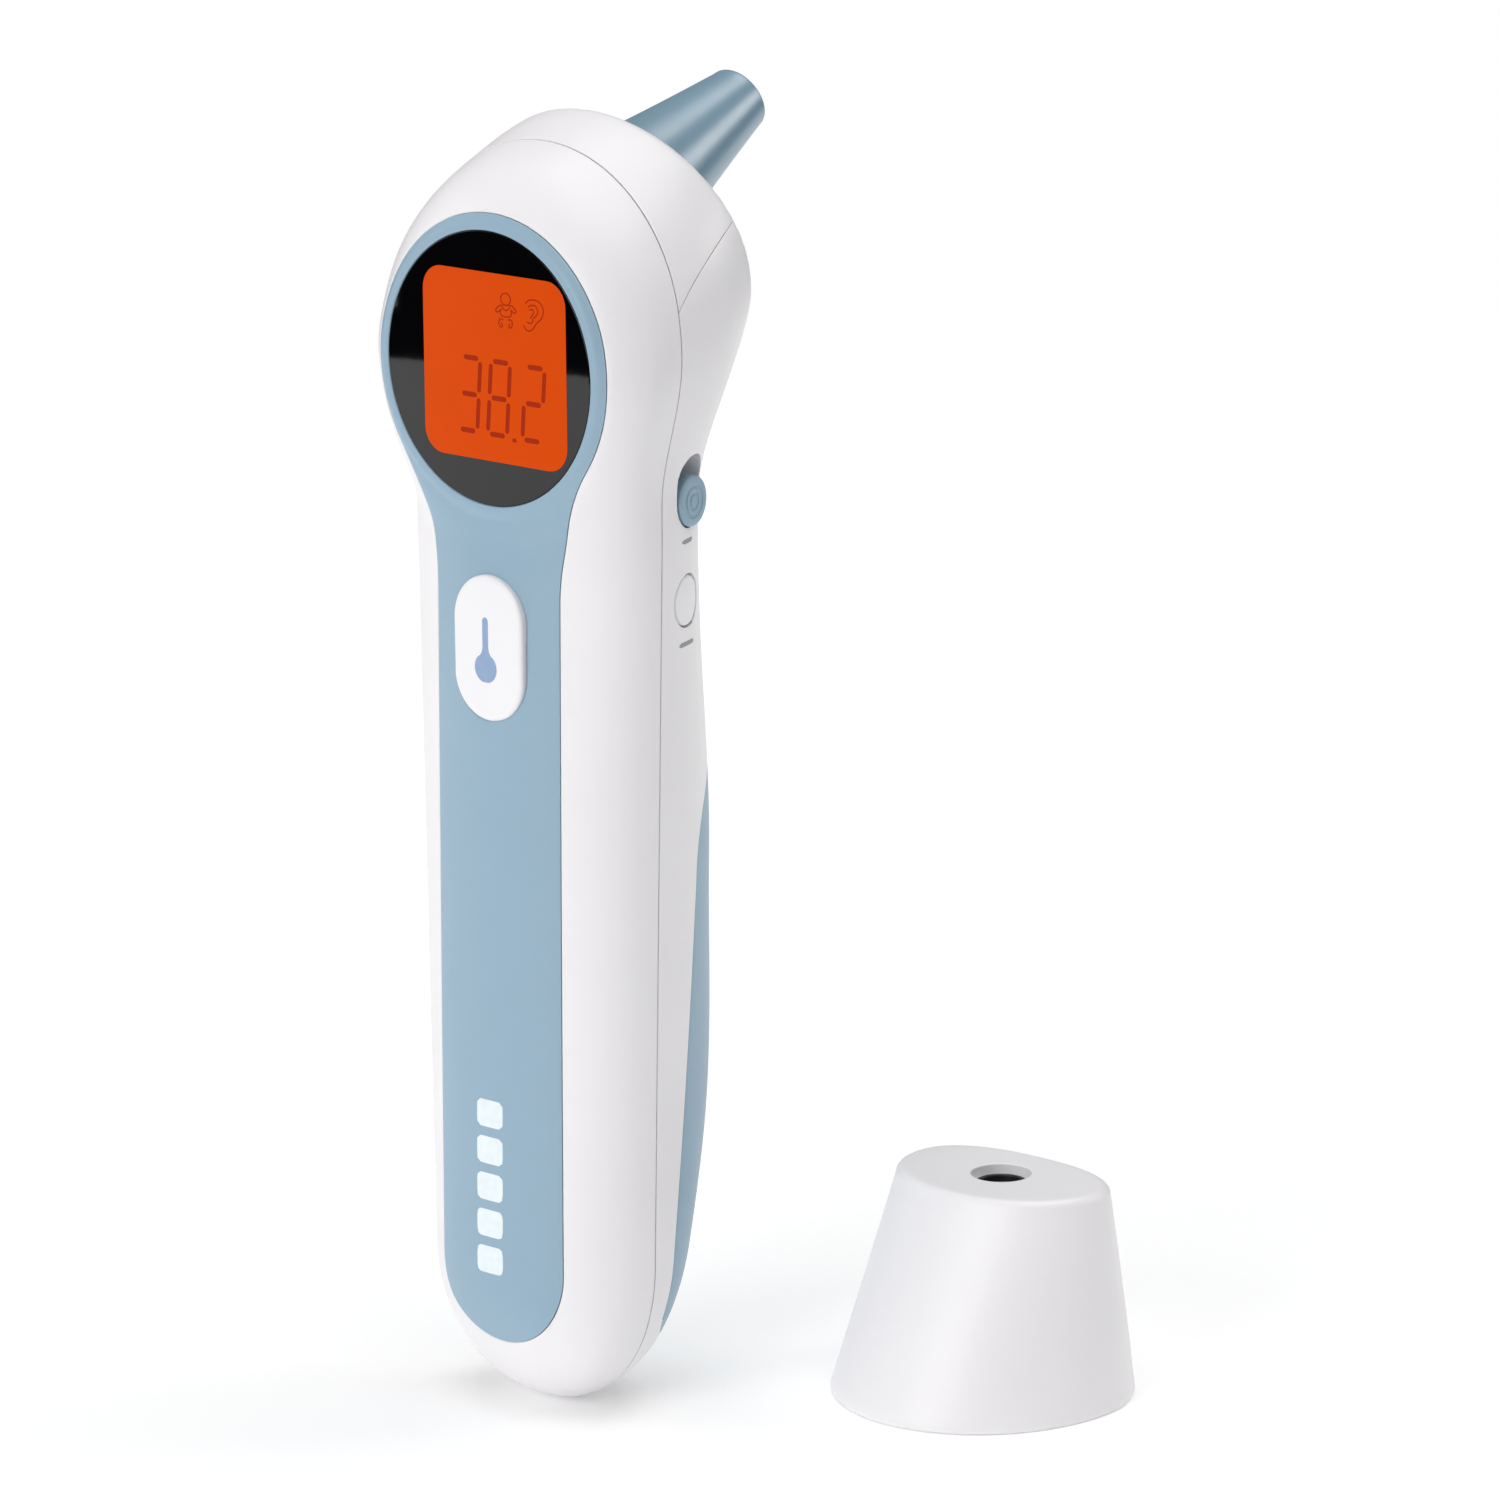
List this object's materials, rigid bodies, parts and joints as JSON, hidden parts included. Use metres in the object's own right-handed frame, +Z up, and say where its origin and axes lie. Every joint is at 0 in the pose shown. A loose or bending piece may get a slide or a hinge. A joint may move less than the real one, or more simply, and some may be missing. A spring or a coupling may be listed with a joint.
{
  "type": "digital ear thermometer",
  "caption": "Handheld infrared ear thermometer with a round display in its head, an angled probe, a long handle and a separate slip-on forehead cap.",
  "frame": {"origin": "lowest point of the handle, on the parting plane of the front and rear shells", "axes": "+Z up the handle, -Y out of the display, +Y towards the probe, +X the side with the two small switches"},
  "size_m": [0.0789, 0.0655, 0.1602],
  "materials": {
    "white_plastic": "semi-gloss moulded ABS",
    "blue_plastic": "semi-gloss moulded ABS, grey-blue",
    "probe_plastic": "satin moulded ABS, grey-blue",
    "button_white": "semi-gloss moulded ABS",
    "icon_blue": "printed mark",
    "window_acrylic": "black acrylic with a clear centre, polished",
    "lcd_orange": "lit orange liquid crystal panel",
    "light_guide": "milky acrylic",
    "frame_white": "moulded plastic",
    "zebra_rubber": "striped conductive rubber",
    "board_green": "solder-masked glass-epoxy board",
    "chip_black": "moulded epoxy",
    "component_tan": "ceramic with tinned ends",
    "buzzer_black": "moulded plastic",
    "screw_steel": "zinc-plated",
    "switch_metal": "stamped steel",
    "contact_metal": "nickel-plated spring steel",
    "cell_jacket": "shrink-wrapped steel can",
    "seal_rubber": "moulded silicone",
    "infrared_window": "dark infrared-clear window",
    "gold_tube": "gold-plated inside and out",
    "holder_metal": "turned",
    "can_metal": "nickel-plated can",
    "connector_white": "moulded nylon",
    "cable_red": "insulated wire",
    "ring_black": "moulded plastic",
    "lens_grey": "grey-blue lens"
  },
  "bodies": {
    "housing": {"front_shell": "white_plastic", "rear_shell": "white_plastic", "probe_housing": "white_plastic", "probe_collar": "white_plastic", "front_panel": "blue_plastic", "display_window": "window_acrylic", "lcd_glass": "lcd_orange", "lcd_backlight": "light_guide", "lcd_frame": "frame_white", "lcd_connector": "zebra_rubber", "main_board": "board_green", "microcontroller": "chip_black", "small_parts": "component_tan", "buzzer": "buzzer_black", "board_screws": "screw_steel", "case_screws": "screw_steel", "scan_switch": "switch_metal", "side_board": "board_green", "board_header": "chip_black", "mode_switch": "switch_metal", "unit_switch": "switch_metal", "battery_tray": "frame_white", "battery_left": "cell_jacket", "battery_right": "cell_jacket", "battery_springs": "contact_metal", "battery_contacts": "contact_metal", "probe_cone": "probe_plastic", "probe_seal": "seal_rubber", "probe_window": "infrared_window", "waveguide": "gold_tube", "sensor_holder": "holder_metal", "sensor_can": "can_metal", "sensor_board": "board_green", "sensor_connector": "connector_white", "sensor_cable": "cable_red"},
    "scan_key": {"scan_button": "button_white", "scan_icon": "icon_blue", "scan_plunger": "chip_black"},
    "mode_key": {"mode_button": "button_white", "mode_plunger": "chip_black"},
    "unit_slider": {"unit_knob": "blue_plastic", "unit_lever": "chip_black"},
    "battery_door": {"battery_cover": "blue_plastic"},
    "forehead_cap": {"cap_shell": "white_plastic", "cap_lens": "lens_grey", "cap_lens_ring": "ring_black"}
  },
  "joints": [
    {"name": "scan_press", "type": "slide", "parent": "housing", "child": "scan_key", "axis": [0, 1, 0], "range_m": [0, 0.0008], "stiffness_N_per_m": 500, "springref_m": -0.002},
    {"name": "mode_press", "type": "slide", "parent": "housing", "child": "mode_key", "axis": [-1, 0, 0], "range_m": [0, 0.0005], "stiffness_N_per_m": 500, "springref_m": -0.002},
    {"name": "unit_slide", "type": "slide", "parent": "housing", "child": "unit_slider", "axis": [0, 0, 1], "range_m": [0, 0.0025]},
    {"name": "battery_cover_pull", "type": "slide", "parent": "housing", "child": "battery_door", "axis": [0, 1, 0], "range_m": [0, 0.015]},
    {"name": "cap_lift", "type": "slide", "parent": "housing", "child": "forehead_cap", "axis": [0, 0, 1], "range_m": [0, 0.05]}
  ]
}
